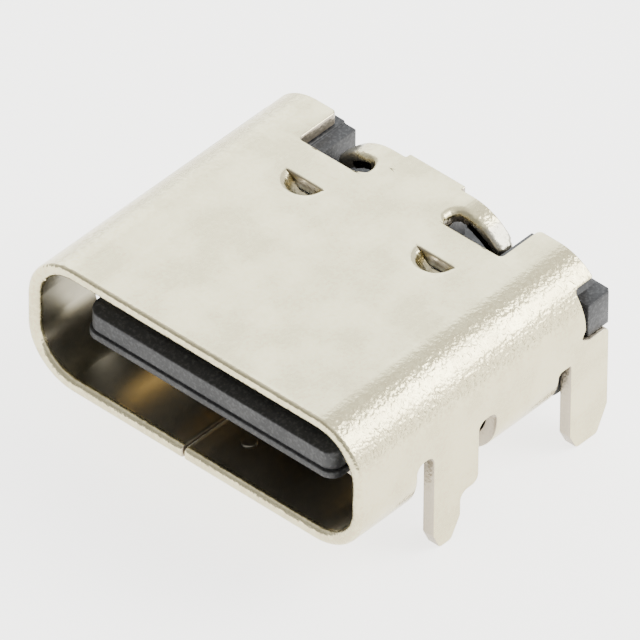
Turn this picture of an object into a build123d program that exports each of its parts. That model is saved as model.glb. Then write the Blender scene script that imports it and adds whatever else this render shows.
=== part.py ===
from build123d import *
import math
import os

# Lengths are in millimetres. A depth runs back from the mouth, a height runs up from the board,
# and a half width runs out from the middle of the socket.

# Contact places, tongue and mouth opening
CONTACT_PITCH = 0.50
CONTACT_PLACES = 12
TONGUE_MARGIN = 0.595
TONGUE_THICKNESS = 0.70
PLUG_SPACE = 0.825
MOUTH_HEIGHT = 2.56

# Shell sheet, ring and the seam where its ends meet
SHEET = 0.30
SHELL_LENGTH = 7.35
BEND_RADIUS = 1.23
MOUTH_LEAD_IN = 0.10
MOUTH_BREAK = 0.05
RING_LENGTH = 1.68
SEAM_OFFSET = 0.28
SEAM_GAP = 0.03
SEAM_BREAK = 0.06

# Floor strip between the front stakes, and the pressed crescent
STRIP_SIDE = 0.74
STRIP_CORNER = 0.15
FLOOR_END_GAP = 0.05
CRESCENT_OFFSET = 0.60
CRESCENT_DEPTH = 1.00
CRESCENT_RADIUS = 0.15
CRESCENT_WIDTH = 0.05
CRESCENT_PRESS = 0.03

# Side walls, slots and board stakes
SLOT_RADIUS = 0.20
FRONT_SLOT_LENGTH = 0.49
FRONT_SLOT_DROP = 0.08
MIDDLE_SLOT_LENGTH = 0.52
MIDDLE_SLOT_DROP = 0.11
REAR_SLOT_LENGTH = 0.36
REAR_SLOT_DROP = 0.33
REAR_SLOT_RADIUS = 0.10
STAKE_REACH = 1.03
STAKE_CORNER = 0.12
FRONT_STAKE_LENGTH = 1.33
FRONT_TIP_LENGTH = 0.80
FRONT_TIP_TAPERS = (0.19, 0.40, 0.27, 0.48)
SHOULDER_RADIUS = 0.20
REAR_STAKE_LENGTH = 1.12
REAR_TIP_TAPERS = (0.20, 0.40, 0.30, 0.62)
REAR_STAKE_TOP_RADIUS = 0.15

# Corner windows that the housing ears fill
WINDOW_LENGTH = 0.69
WINDOW_DROP = 0.34
WINDOW_ANGLE = 47.3
WINDOW_RADIUS = 0.12
RELIEF_BACK = 0.11
RELIEF_DROP = 0.21
RELIEF_CORNER = 0.05

# Roof edge, notches, neck and bent wings
ROOF_SETBACK = 0.13
NOTCH_LENGTH = 1.14
NOTCH_WIDTH = 1.64
NOTCH_SIDE = 0.54
NOTCH_CORNER = 0.10
NOTCH_END_RADIUS = 0.22
ROOF_CORNER = 0.12
WING_LENGTH = 0.48
WING_SETBACK = 0.25
WING_RADIUS = 1.30
WING_ANGLE = 40.0
WING_CORNER = 0.20
TAB_INSET = 0.31
TAB_PROUD = 0.13
TAB_CORNER = 0.05

# Lanced domes in the roof
DOME_OFFSET = 1.75
DOME_TO_NOTCH = 0.86
DOME_HALF_WIDTH = 0.43
DOME_PRESS = 0.34
DOME_SHEET = 0.14

# Tongue
TONGUE_TIP = 0.44
TONGUE_CORNER = 0.30
NOSE_SLOPE_LENGTH = 0.27
NOSE_SLOPE_DROP = 0.09
LIP_HEIGHT = 0.17
LIP_PROUD = 0.04
PARTING_GROOVE = 0.03
ROOT_REACH = 1.05
ROOT_THICKNESS = 1.20
ROOT_EDGE = 0.08

# Housing base, feet, pockets, ears and pegs
FIT = 0.02
BASE_LENGTH = 1.25
BASE_PROUD = 0.05
BASE_CHAMFER = 0.10
BASE_CORNER = 0.37
LEDGE_LENGTH = 0.20
STEP_SIDE = 0.05
STEP_DROP = 0.06
WING_SIDE_GAP = 0.07
WING_FLOOR_GAP = 0.20
RIB_INSET = 0.16
RIB_SETBACK = 0.05
EAR_DROP = 0.75
EAR_INSET = 0.07
EAR_FRONT_GAP = 0.13
EAR_BACK = 0.10
EAR_ROOT = 0.30
EAR_CHAMFER = 0.10
TAIL_RECESS_LENGTH = 0.84
TAIL_RECESS_HEIGHT = 0.25
TAIL_RECESS_SIDE = 0.20
PEG_SIDE = 1.58
PEG_SETBACK = 1.12
PEG_RADIUS = 0.25
PEG_LENGTH = 0.55
PEG_CHAMFER = 0.08

# Latch plate between the two contact rows
PLATE_THICKNESS = 0.15
PLATE_INSET = 0.36
LATCH_INSET = 1.31
LATCH_LENGTH = 1.10
LATCH_RECESS = 0.25
LATCH_RADIUS = 0.10

# Insulator blocks that hold the two rows
BLOCK_INSET = 0.41
BLOCK_SIDE = 0.05
HOUSING_WALL = 0.40
POCKET_SKIN = 0.05
UPPER_COVER = 0.125
LOWER_COVER = 0.12
LEG_WALL = 0.08

# Contacts
CONTACT_WIDTH = 0.25
CONTACT_SHEET = 0.15
CONTACT_BEND = 0.15
SIGNAL_INSET = 0.91
POWER_INSET = 0.56
JOG_REACH = 0.85
JOG_IN = 0.25
TAIL_WIDTH = 0.22
TAIL_PROUD = 0.30
UPPER_LEG_SETBACK = 0.45
LOWER_LEG_SETBACK = 0.78
# name, places from the middle on the tongue, places from the middle at the tail, start behind the tip
UPPER_ROW = [
    ("a1", -5.5, -6.7, POWER_INSET),
    ("a4", -2.5, -5.1, POWER_INSET),
    ("a5", -1.5, -2.5, SIGNAL_INSET),
    ("a6", -0.5, -0.5, SIGNAL_INSET),
    ("a7", 0.5, 0.5, SIGNAL_INSET),
    ("a8", 1.5, 2.5, SIGNAL_INSET),
    ("a9", 2.5, 5.1, POWER_INSET),
    ("a12", 5.5, 6.7, POWER_INSET),
]
LOWER_ROW = [
    ("b12", -5.5, -6.1, POWER_INSET),
    ("b9", -2.5, -4.5, POWER_INSET),
    ("b8", -1.5, -3.5, SIGNAL_INSET),
    ("b7", -0.5, -1.5, SIGNAL_INSET),
    ("b6", 0.5, 1.5, SIGNAL_INSET),
    ("b5", 1.5, 3.5, SIGNAL_INSET),
    ("b4", 2.5, 4.5, POWER_INSET),
    ("b1", 5.5, 6.1, POWER_INSET),
]

# Widths and heights that follow from the sizes above
BEYOND = 1.0
OVERLAP = 0.1
TONGUE_WIDTH = (CONTACT_PLACES - 1) * CONTACT_PITCH + 2 * TONGUE_MARGIN
TONGUE_HALF_WIDTH = TONGUE_WIDTH / 2
SHELL_WIDTH = TONGUE_WIDTH + 2 * (PLUG_SPACE + SHEET)
SHELL_HEIGHT = MOUTH_HEIGHT + 2 * SHEET
MIDDLE = SHELL_HEIGHT / 2
ROOF_UNDERSIDE = SHELL_HEIGHT - SHEET
BEND_START = SHELL_HEIGHT - BEND_RADIUS
FLAT_HALF_WIDTH = SHELL_WIDTH / 2 - BEND_RADIUS
WALL_INSIDE = SHELL_WIDTH / 2 - SHEET
TONGUE_TOP = MIDDLE + TONGUE_THICKNESS / 2
TONGUE_UNDERSIDE = MIDDLE - TONGUE_THICKNESS / 2
PLATE_TOP = MIDDLE + PLATE_THICKNESS / 2
PLATE_UNDERSIDE = MIDDLE - PLATE_THICKNESS / 2
STRIP_HALF_WIDTH = FLAT_HALF_WIDTH - STRIP_SIDE
NOTCH_HALF_WIDTH = FLAT_HALF_WIDTH - NOTCH_SIDE
NECK_HALF_WIDTH = NOTCH_HALF_WIDTH - NOTCH_WIDTH
TAB_HALF_WIDTH = NECK_HALF_WIDTH - TAB_INSET
RIB_HALF_WIDTH = NECK_HALF_WIDTH - RIB_INSET
WING_SIN = math.sin(math.radians(WING_ANGLE))
WING_COS = math.cos(math.radians(WING_ANGLE))
POCKET_FLOOR = TONGUE_TOP + UPPER_COVER + POCKET_SKIN
WING_BEND_LOW = SHELL_HEIGHT - WING_RADIUS * (1 - WING_COS) - SHEET * WING_COS
WING_FLAT = (WING_BEND_LOW - POCKET_FLOOR - WING_FLOOR_GAP) / WING_SIN
WING_REACH = NECK_HALF_WIDTH + WING_RADIUS * WING_SIN + WING_FLAT * WING_COS
STEP_HALF_WIDTH = NOTCH_HALF_WIDTH - STEP_SIDE
POCKET_HALF_WIDTH = WING_REACH + WING_SIDE_GAP
WINDOW_FLOOR = BEND_START - WINDOW_DROP
EAR_TOP = SHELL_HEIGHT - EAR_DROP
PEG_OFFSET = SHELL_WIDTH / 2 - PEG_SIDE
BLOCK_HALF_WIDTH = WALL_INSIDE - FIT - HOUSING_WALL
CONTACT_REACH = (CONTACT_PLACES - 1) * CONTACT_PITCH / 2 + CONTACT_WIDTH / 2
TAIL_REACH = max(abs(row[2]) for row in UPPER_ROW + LOWER_ROW) * CONTACT_PITCH + TAIL_WIDTH / 2

# Depths that follow from the sizes above
FRONT_STAKE_DEPTH = RING_LENGTH + FRONT_SLOT_LENGTH
FRONT_STAKE_REAR = FRONT_STAKE_DEPTH + FRONT_STAKE_LENGTH
MIDDLE_SLOT_REAR = FRONT_STAKE_REAR + MIDDLE_SLOT_LENGTH
REAR_STAKE_DEPTH = SHELL_LENGTH - REAR_STAKE_LENGTH
FLOOR_REAR = REAR_STAKE_DEPTH - REAR_SLOT_LENGTH
ROOF_LENGTH = SHELL_LENGTH - ROOF_SETBACK
WINDOW_DEPTH = SHELL_LENGTH - WINDOW_LENGTH
NOTCH_DEPTH = ROOF_LENGTH - NOTCH_LENGTH
WING_REAR = SHELL_LENGTH - WING_SETBACK
WING_DEPTH = WING_REAR - WING_LENGTH
DOME_DEPTH = NOTCH_DEPTH - DOME_TO_NOTCH
HOUSING_REAR = SHELL_LENGTH + BASE_PROUD
BASE_DEPTH = HOUSING_REAR - BASE_LENGTH
FOOT_DEPTH = FLOOR_REAR + FLOOR_END_GAP
ROOT_DEPTH = BASE_DEPTH - ROOT_REACH
RIB_REAR = WING_REAR - RIB_SETBACK
EAR_DEPTH = WINDOW_DEPTH + EAR_FRONT_GAP
EAR_REAR = HOUSING_REAR + EAR_BACK
PEG_DEPTH = HOUSING_REAR - PEG_SETBACK
PLATE_DEPTH = TONGUE_TIP + PLATE_INSET
LATCH_DEPTH = TONGUE_TIP + LATCH_INSET
BLOCK_DEPTH = TONGUE_TIP + BLOCK_INSET
UPPER_LEG_DEPTH = HOUSING_REAR - UPPER_LEG_SETBACK
LOWER_LEG_DEPTH = HOUSING_REAR - LOWER_LEG_SETBACK
UPPER_BLOCK_REAR = UPPER_LEG_DEPTH - LEG_WALL
LOWER_BLOCK_REAR = LOWER_LEG_DEPTH - LEG_WALL
JOG_START = BASE_DEPTH - JOG_REACH
JOG_END = BASE_DEPTH + JOG_IN
TAIL_END = HOUSING_REAR + TAIL_PROUD


def at(depth):
    """Y of a depth behind the mouth: the middle of the shell is at zero."""
    return depth - SHELL_LENGTH / 2


def outline(corners):
    """Closed face from (u, v, radius) corners, sharp where the radius is zero."""
    face = Polygon(*[(u, v) for u, v, _ in corners], align=None)
    for radius in sorted({r for _, _, r in corners if r > 0}):
        spots = [Vector(u, v) for u, v, r in corners if r == radius]
        chosen = [p for p in face.vertices() if min((Vector(p) - s).length for s in spots) < 1e-6]
        face = fillet(chosen, radius)
    return face


def across(face, half_from, half_to):
    """Solid from a (Y, Z) face between two X values."""
    return extrude(Plane.YZ.offset(half_from) * face, amount=half_to - half_from, dir=(1, 0, 0))


def back(face, depth_from, depth_to):
    """Solid from an (X, Z) face between two depths."""
    plane = Plane((0, at(depth_from), 0), x_dir=(1, 0, 0), z_dir=(0, -1, 0))
    return extrude(plane * face, amount=depth_to - depth_from, dir=(0, 1, 0))


def upward(face, height_from, height_to):
    """Solid from an (X, Y) face between two heights."""
    return extrude(Plane.XY.offset(height_from) * face, amount=height_to - height_from, dir=(0, 0, 1))


def block(half_from, half_to, depth_from, depth_to, height_from, height_to):
    """Plain box between two X values, two depths and two heights."""
    size = (half_to - half_from, depth_to - depth_from, height_to - height_from)
    corner = Pos(half_from, at(depth_from), height_from)
    return corner * Box(*size, align=(Align.MIN, Align.MIN, Align.MIN))


def both_sides(shape):
    """A shape and its mirror image across the middle of the socket."""
    return shape + mirror(shape, Plane.YZ)


def tube(inset):
    """The (X, Z) outline of the mouth, set in from the outside of the shell."""
    size = (SHELL_WIDTH - 2 * inset, SHELL_HEIGHT - 2 * inset)
    return Pos(0, MIDDLE) * RectangleRounded(*size, BEND_RADIUS - inset)


def make_ring():
    """The closed front of the shell with its rounded mouth."""
    ring = back(tube(0) - tube(SHEET), 0, RING_LENGTH)
    inner = ring.faces().sort_by(Axis.Y)[0].inner_wires()[0].edges()
    ring = fillet(inner, MOUTH_LEAD_IN)
    outer = ring.faces().sort_by(Axis.Y)[0].outer_wire().edges()
    return chamfer(outer, MOUTH_BREAK)


def slot_radius(length, top):
    """The corner radius of a wall slot, limited by the room that the slot leaves for it."""
    return min(SLOT_RADIUS, 0.45 * length, 0.9 * (top - BEND_RADIUS))


def make_wall():
    """The right side wall behind the ring, with both stakes and the slots beside the front one."""
    tip_end = FRONT_STAKE_DEPTH + FRONT_TIP_LENGTH
    front_top = MIDDLE - FRONT_SLOT_DROP
    middle_top = MIDDLE - MIDDLE_SLOT_DROP
    front_radius = slot_radius(FRONT_SLOT_LENGTH, front_top)
    middle_radius = slot_radius(MIDDLE_SLOT_LENGTH, middle_top)
    tip = -STAKE_REACH
    a, b, c, d = FRONT_TIP_TAPERS
    e, f, g, h = REAR_TIP_TAPERS
    corners = [
        (RING_LENGTH - SHEET, BEND_START, 0),
        (RING_LENGTH - SHEET, BEND_RADIUS, 0),
        (RING_LENGTH, BEND_RADIUS, 0),
        (RING_LENGTH, front_top, front_radius),
        (FRONT_STAKE_DEPTH, front_top, front_radius),
        (FRONT_STAKE_DEPTH, tip + b, STAKE_CORNER),
        (FRONT_STAKE_DEPTH + a, tip, STAKE_CORNER),
        (tip_end - c, tip, STAKE_CORNER),
        (tip_end, tip + d, STAKE_CORNER),
        (tip_end, 0, SHOULDER_RADIUS),
        (FRONT_STAKE_REAR, 0, SHOULDER_RADIUS),
        (FRONT_STAKE_REAR, middle_top, middle_radius),
        (MIDDLE_SLOT_REAR, middle_top, middle_radius),
        (MIDDLE_SLOT_REAR, BEND_RADIUS, 0),
        (REAR_STAKE_DEPTH, BEND_RADIUS, 0),
        (REAR_STAKE_DEPTH, tip + f, STAKE_CORNER),
        (REAR_STAKE_DEPTH + e, tip, STAKE_CORNER),
        (SHELL_LENGTH - g, tip, STAKE_CORNER),
        (SHELL_LENGTH, tip + h, STAKE_CORNER),
        (SHELL_LENGTH, WINDOW_FLOOR, REAR_STAKE_TOP_RADIUS),
        (EAR_DEPTH, WINDOW_FLOOR, 0),
        (WINDOW_DEPTH - RELIEF_BACK, BEND_START - RELIEF_DROP, RELIEF_CORNER),
        (WINDOW_DEPTH, BEND_START, 0),
    ]
    face = outline([(at(depth), height, radius) for depth, height, radius in corners])
    return across(face, WALL_INSIDE, SHELL_WIDTH / 2)


def make_window():
    """The cutter for the right corner window: square to the sheet at its upper edge."""
    centre = (SHELL_WIDTH / 2 - BEND_RADIUS, BEND_START)
    reach = BEND_RADIUS + BEYOND
    angle = math.radians(WINDOW_ANGLE)
    far = (centre[0] + reach * math.sin(angle), centre[1] + reach * math.cos(angle))
    wedge = Polygon(centre, far, (far[0], centre[1]), align=None)
    cutter = back(wedge, WINDOW_DEPTH, SHELL_LENGTH + BEYOND)
    front = cutter.faces().sort_by(Axis.Y)[0]
    upper = front.edges().sort_by(Axis.Z)[-1]
    return fillet(upper, WINDOW_RADIUS)


def make_roof():
    """The roof and its two long bends, cut for the notches and the windows."""
    roof = back(tube(0) - tube(SHEET), RING_LENGTH, ROOF_LENGTH)
    roof -= block(-SHELL_WIDTH, SHELL_WIDTH, 0, SHELL_LENGTH, -BEYOND, BEND_START)
    side = NOTCH_HALF_WIDTH + 2 * ROOF_CORNER
    end = ROOF_LENGTH + BEYOND
    plan = [
        (NOTCH_HALF_WIDTH, NOTCH_DEPTH, NOTCH_CORNER),
        (NOTCH_HALF_WIDTH, ROOF_LENGTH, ROOF_CORNER),
        (side, ROOF_LENGTH, 0),
        (side, end, 0),
        (-side, end, 0),
        (-side, ROOF_LENGTH, 0),
        (-NOTCH_HALF_WIDTH, ROOF_LENGTH, ROOF_CORNER),
        (-NOTCH_HALF_WIDTH, NOTCH_DEPTH, NOTCH_CORNER),
    ]
    notch = outline([(x, at(depth), radius) for x, depth, radius in plan])
    roof -= upward(notch, BEND_START, SHELL_HEIGHT + BEYOND)
    return roof - both_sides(make_window())


def make_wings():
    """The neck and the strip behind it, whose ends bend down over the housing."""
    mid_height = SHELL_HEIGHT - SHEET / 2
    flat = Line((0, mid_height), (NECK_HALF_WIDTH, mid_height))
    bend = JernArc(flat @ 1, (1, 0), WING_RADIUS - SHEET / 2, -WING_ANGLE)
    drop = Line(bend @ 1, bend @ 1 + (bend % 1) * WING_FLAT)
    half = back(trace(flat + bend + drop, SHEET), NOTCH_DEPTH, WING_REAR)
    tip = half.faces().sort_by(Axis.X)[-1]
    half = fillet(tip.edges().filter_by(Axis.Y, reverse=True), min(WING_CORNER, 0.9 * WING_FLAT))
    width = 2 * NOTCH_HALF_WIDTH
    end = [
        (NECK_HALF_WIDTH, NOTCH_DEPTH, NOTCH_END_RADIUS),
        (width, NOTCH_DEPTH, 0),
        (width, WING_DEPTH, 0),
        (NECK_HALF_WIDTH, WING_DEPTH, NOTCH_END_RADIUS),
    ]
    notch = outline([(x, at(depth), radius) for x, depth, radius in end])
    half -= upward(notch, 0, SHELL_HEIGHT + BEYOND)
    tab = [
        (-TAB_HALF_WIDTH, WING_REAR - SHEET, 0),
        (TAB_HALF_WIDTH, WING_REAR - SHEET, 0),
        (TAB_HALF_WIDTH, WING_REAR + TAB_PROUD, TAB_CORNER),
        (-TAB_HALF_WIDTH, WING_REAR + TAB_PROUD, TAB_CORNER),
    ]
    face = outline([(x, at(depth), radius) for x, depth, radius in tab])
    return both_sides(half) + upward(face, ROOF_UNDERSIDE, SHELL_HEIGHT)


def make_floor():
    """The floor behind the ring: a strip between the front stakes, then the full width with its bends."""
    inside = RING_LENGTH - SHEET
    beyond = MIDDLE_SLOT_REAR + SHEET
    wide = STRIP_HALF_WIDTH + SHEET
    half = [
        (wide, inside, 0),
        (wide, RING_LENGTH, 0),
        (STRIP_HALF_WIDTH, RING_LENGTH, STRIP_CORNER),
        (STRIP_HALF_WIDTH, MIDDLE_SLOT_REAR, STRIP_CORNER),
        (wide, MIDDLE_SLOT_REAR, 0),
        (wide, beyond, 0),
    ]
    plan = half + [(-x, depth, radius) for x, depth, radius in reversed(half)]
    strip = upward(outline([(x, at(depth), radius) for x, depth, radius in plan]), 0, SHEET)
    rear = back(tube(0) - tube(SHEET), MIDDLE_SLOT_REAR, REAR_STAKE_DEPTH)
    rear -= block(-SHELL_WIDTH, SHELL_WIDTH, 0, SHELL_LENGTH, BEND_RADIUS, SHELL_HEIGHT + BEYOND)
    return strip + rear


def rear_slot_cutter():
    """The gap between the rear end of the floor and the rear stakes, rounded at its front top corner."""
    top = MIDDLE - REAR_SLOT_DROP
    side = [
        (FLOOR_REAR, -BEYOND, 0),
        (FLOOR_REAR, top, REAR_SLOT_RADIUS),
        (REAR_STAKE_DEPTH, top, 0),
        (REAR_STAKE_DEPTH, -BEYOND, 0),
    ]
    face = outline([(at(depth), height, radius) for depth, height, radius in side])
    return across(face, -SHELL_WIDTH, SHELL_WIDTH)


def seam_cutter():
    """The slit where the two ends of the sheet meet in the floor, with its rounded inner edges."""
    near = SEAM_GAP / 2
    wide = near + SEAM_BREAK
    half = [(near, -BEYOND), (near, SHEET - SEAM_BREAK), (wide, SHEET), (wide, MIDDLE)]
    points = half + [(-x, z) for x, z in reversed(half)]
    return Pos(-SEAM_OFFSET, 0, 0) * back(Polygon(*points, align=None), -BEYOND, FOOT_DEPTH)


def crescent_cutter():
    """The small half moon that is pressed into the floor."""
    disc = Circle(CRESCENT_RADIUS)
    moon = disc - Pos(-CRESCENT_WIDTH, CRESCENT_WIDTH) * disc
    place = Pos(CRESCENT_OFFSET, at(CRESCENT_DEPTH)) * moon
    return upward(place, SHEET - CRESCENT_PRESS, MIDDLE)


def add_dome(shell, offset):
    """Press one lanced dome down into the roof, open at its straight rear edge."""
    radius = (DOME_HALF_WIDTH**2 + DOME_PRESS**2) / (2 * DOME_PRESS)
    centre = Pos(offset, at(DOME_DEPTH), SHELL_HEIGHT - DOME_PRESS + radius)
    reach = radius + DOME_SHEET
    front = block(offset - reach, offset + reach, DOME_DEPTH - reach, DOME_DEPTH,
                  SHELL_HEIGHT - BEYOND, SHELL_HEIGHT)
    bowl = centre * Sphere(radius) & front
    bulge = centre * Sphere(reach) & front
    return shell + bulge - bowl


def make_shell():
    """The whole shell: one sheet, folded to a ring and butted in the floor."""
    shell = make_ring() + make_roof() + both_sides(make_wall()) + make_wings() + make_floor()
    shell = add_dome(add_dome(shell, DOME_OFFSET), -DOME_OFFSET)
    return shell - rear_slot_cutter() - seam_cutter() - crescent_cutter()


def tongue_slice(inset, height_from, height_to):
    """One layer of the tongue, its front corners rounded."""
    half = TONGUE_HALF_WIDTH - inset
    front = at(TONGUE_TIP + inset)
    rear = at(BASE_DEPTH + OVERLAP)
    plan = [
        (-half, front, TONGUE_CORNER),
        (half, front, TONGUE_CORNER),
        (half, rear, 0),
        (-half, rear, 0),
    ]
    return upward(outline(plan), height_from, height_to)


def make_tongue():
    """The outside of the tongue: lower lip, parting groove, sloped nose and thicker root."""
    lip_top = TONGUE_UNDERSIDE + LIP_HEIGHT
    groove_top = lip_top + PARTING_GROOVE
    tongue = tongue_slice(0, TONGUE_UNDERSIDE, lip_top)
    tongue += tongue_slice(LIP_PROUD + PARTING_GROOVE, lip_top, groove_top)
    tongue += tongue_slice(LIP_PROUD, groove_top, TONGUE_TOP)
    front = TONGUE_TIP + LIP_PROUD
    slope = [
        (front - BEYOND, TONGUE_TOP - NOSE_SLOPE_DROP * (1 + BEYOND / NOSE_SLOPE_LENGTH)),
        (front + NOSE_SLOPE_LENGTH, TONGUE_TOP),
        (front + NOSE_SLOPE_LENGTH, TONGUE_TOP + BEYOND),
        (front - BEYOND, TONGUE_TOP + BEYOND),
    ]
    wedge = Polygon(*[(at(depth), height) for depth, height in slope], align=None)
    above_lip = block(-SHELL_WIDTH, SHELL_WIDTH, 0, BASE_DEPTH, lip_top, SHELL_HEIGHT)
    tongue -= across(wedge, -SHELL_WIDTH, SHELL_WIDTH) & above_lip
    root_half = ROOT_THICKNESS / 2
    root = block(-TONGUE_HALF_WIDTH, TONGUE_HALF_WIDTH, ROOT_DEPTH, BASE_DEPTH + OVERLAP,
                 MIDDLE - root_half, MIDDLE + root_half)
    root = chamfer(root.faces().sort_by(Axis.Y)[0].edges(), ROOT_EDGE)
    return tongue + root


def latch_cutters(height_from, height_to):
    """The two side recesses that a plug's latches hold in."""
    half = TONGUE_HALF_WIDTH
    end = LATCH_DEPTH + LATCH_LENGTH
    plan = [
        (half - LATCH_RECESS, LATCH_DEPTH, LATCH_RADIUS),
        (half + BEYOND, LATCH_DEPTH, 0),
        (half + BEYOND, end, 0),
        (half - LATCH_RECESS, end, LATCH_RADIUS),
    ]
    face = outline([(x, at(depth), radius) for x, depth, radius in plan])
    return both_sides(upward(face, height_from, height_to))


def make_base():
    """The rear body of the housing, with feet, ears, pockets and pegs."""
    half = WALL_INSIDE - FIT
    low_side = half - BASE_CORNER
    right = [(low_side, 0), (half, BASE_CORNER), (half, MIDDLE)]
    lower = right + [(-x, z) for x, z in reversed(right)]
    section = tube(SHEET + FIT) + Polygon(*lower, align=None)
    base = back(section, BASE_DEPTH, HOUSING_REAR)
    rim = base.faces().sort_by(Axis.Y)[-1].edges().group_by(Axis.Z)[0]
    base = chamfer(rim, BASE_CHAMFER)
    base += block(-low_side, low_side, FOOT_DEPTH, BASE_DEPTH + OVERLAP, 0, SHEET)

    above = SHELL_HEIGHT
    pocket_depth = BASE_DEPTH + LEDGE_LENGTH
    step = block(-STEP_HALF_WIDTH, STEP_HALF_WIDTH, pocket_depth, HOUSING_REAR + BEYOND,
                 ROOF_UNDERSIDE - FIT - STEP_DROP, above)
    pocket = block(-POCKET_HALF_WIDTH, POCKET_HALF_WIDTH, pocket_depth, HOUSING_REAR + BEYOND,
                   POCKET_FLOOR, above)
    rib = block(-RIB_HALF_WIDTH, RIB_HALF_WIDTH, pocket_depth, RIB_REAR,
                POCKET_FLOOR, ROOF_UNDERSIDE - FIT)
    base = base - step - pocket + rib

    outside = SHELL_WIDTH / 2 - EAR_INSET
    ear = block(half - EAR_ROOT, outside, EAR_DEPTH, EAR_REAR, WINDOW_FLOOR + FIT, EAR_TOP)
    outer = ear.faces().sort_by(Axis.X)[-1].edges()
    rear = ear.faces().sort_by(Axis.Y)[-1].edges()
    ear = chamfer([edge for edge in outer if edge in rear], EAR_CHAMFER)
    base += both_sides(ear)

    recess_side = TAIL_REACH + TAIL_RECESS_SIDE
    base -= block(-recess_side, recess_side, HOUSING_REAR - TAIL_RECESS_LENGTH, HOUSING_REAR + BEYOND,
                  -BEYOND, TAIL_RECESS_HEIGHT)
    peg = Cylinder(PEG_RADIUS, PEG_LENGTH + SHEET / 2, align=(Align.CENTER, Align.CENTER, Align.MIN))
    peg = chamfer(peg.edges().sort_by(Axis.Z)[0], PEG_CHAMFER)
    base += both_sides(Pos(PEG_OFFSET, at(PEG_DEPTH), -PEG_LENGTH) * peg)
    return base


def make_plate():
    """The latch plate: as wide as the tongue, and as wide as the blocks inside the base."""
    half = TONGUE_HALF_WIDTH - LIP_PROUD
    plan = [
        (-half, PLATE_DEPTH, TONGUE_CORNER / 2),
        (half, PLATE_DEPTH, TONGUE_CORNER / 2),
        (half, BASE_DEPTH, 0),
        (BLOCK_HALF_WIDTH, BASE_DEPTH, 0),
        (BLOCK_HALF_WIDTH, LOWER_BLOCK_REAR, 0),
        (-BLOCK_HALF_WIDTH, LOWER_BLOCK_REAR, 0),
        (-BLOCK_HALF_WIDTH, BASE_DEPTH, 0),
        (-half, BASE_DEPTH, 0),
    ]
    face = outline([(x, at(depth), radius) for x, depth, radius in plan])
    plate = upward(face, PLATE_UNDERSIDE, PLATE_TOP)
    return plate - latch_cutters(0, SHELL_HEIGHT)


def make_block_body(tongue_face, plate_face, cover, rear):
    """An insulator block before its contacts are cut out of it."""
    low, high = sorted((tongue_face, plate_face))
    slab_half = CONTACT_REACH + BLOCK_SIDE
    slab = block(-slab_half, slab_half, BLOCK_DEPTH, BASE_DEPTH, low, high)
    low, high = sorted((cover, plate_face))
    return slab + block(-BLOCK_HALF_WIDTH, BLOCK_HALF_WIDTH, BASE_DEPTH, rear, low, high)


def make_contact(tongue_place, tail_place, inset, run_low, leg_depth):
    """One bent contact: the run in the tongue, a sideways jog, a leg and the solder tail."""
    tongue_x = tongue_place * CONTACT_PITCH
    tail_x = tail_place * CONTACT_PITCH
    start = TONGUE_TIP + inset
    run_high = run_low + CONTACT_SHEET
    leg_rear = leg_depth + CONTACT_SHEET
    side = [
        (start, run_low, 0),
        (leg_depth, run_low, 0),
        (leg_depth, 0, CONTACT_BEND),
        (TAIL_END, 0, 0),
        (TAIL_END, CONTACT_SHEET, 0),
        (leg_rear, CONTACT_SHEET, 0),
        (leg_rear, run_high, CONTACT_BEND),
        (start, run_high, 0),
    ]
    face = outline([(at(depth), height, radius) for depth, height, radius in side])
    strip = across(face, -SHELL_WIDTH / 2, SHELL_WIDTH / 2)
    wide = CONTACT_WIDTH / 2
    narrow = TAIL_WIDTH / 2
    plan = [
        (tongue_x - wide, at(start)),
        (tongue_x + wide, at(start)),
        (tongue_x + wide, at(JOG_START)),
        (tail_x + narrow, at(JOG_END)),
        (tail_x + narrow, at(TAIL_END)),
        (tail_x - narrow, at(TAIL_END)),
        (tail_x - narrow, at(JOG_END)),
        (tongue_x - wide, at(JOG_START)),
    ]
    return strip & upward(Polygon(*plan, align=None), -BEYOND, SHELL_HEIGHT)


contacts = {}
for name, *places in UPPER_ROW:
    contacts[name] = make_contact(*places, TONGUE_TOP - CONTACT_SHEET, UPPER_LEG_DEPTH)
for name, *places in LOWER_ROW:
    contacts[name] = make_contact(*places, TONGUE_UNDERSIDE, LOWER_LEG_DEPTH)

latch_plate = make_plate()
upper_cover = TONGUE_TOP + UPPER_COVER
lower_cover = TONGUE_UNDERSIDE - LOWER_COVER
upper_body = make_block_body(TONGUE_TOP, PLATE_TOP, upper_cover, UPPER_BLOCK_REAR)
lower_body = make_block_body(TONGUE_UNDERSIDE, PLATE_UNDERSIDE, lower_cover, LOWER_BLOCK_REAR)

housing = make_tongue() + make_base() - latch_cutters(0, SHELL_HEIGHT)
housing = housing - latch_plate - upper_body - lower_body
upper_block = upper_body - latch_plate
lower_block = lower_body - latch_plate
for contact in contacts.values():
    housing -= contact
    upper_block -= contact
    lower_block -= contact

nodes = {
    "shell": make_shell(),
    "housing": housing,
    "upper_block": upper_block,
    "lower_block": lower_block,
    "latch_plate": latch_plate,
}
for name, contact in contacts.items():
    nodes["contact_" + name] = contact

os.makedirs("parts", exist_ok=True)
for name, shape in nodes.items():
    solids = shape.solids()
    print(name, len(solids), "solid,", round(shape.volume, 4), "mm3", shape.is_valid)
    export_step(shape, f"parts/{name}.step")
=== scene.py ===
import logging
import math
from collections.abc import Callable
from dataclasses import dataclass
from enum import Enum

import bmesh
import bpy
from mathutils import Matrix, Vector


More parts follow.
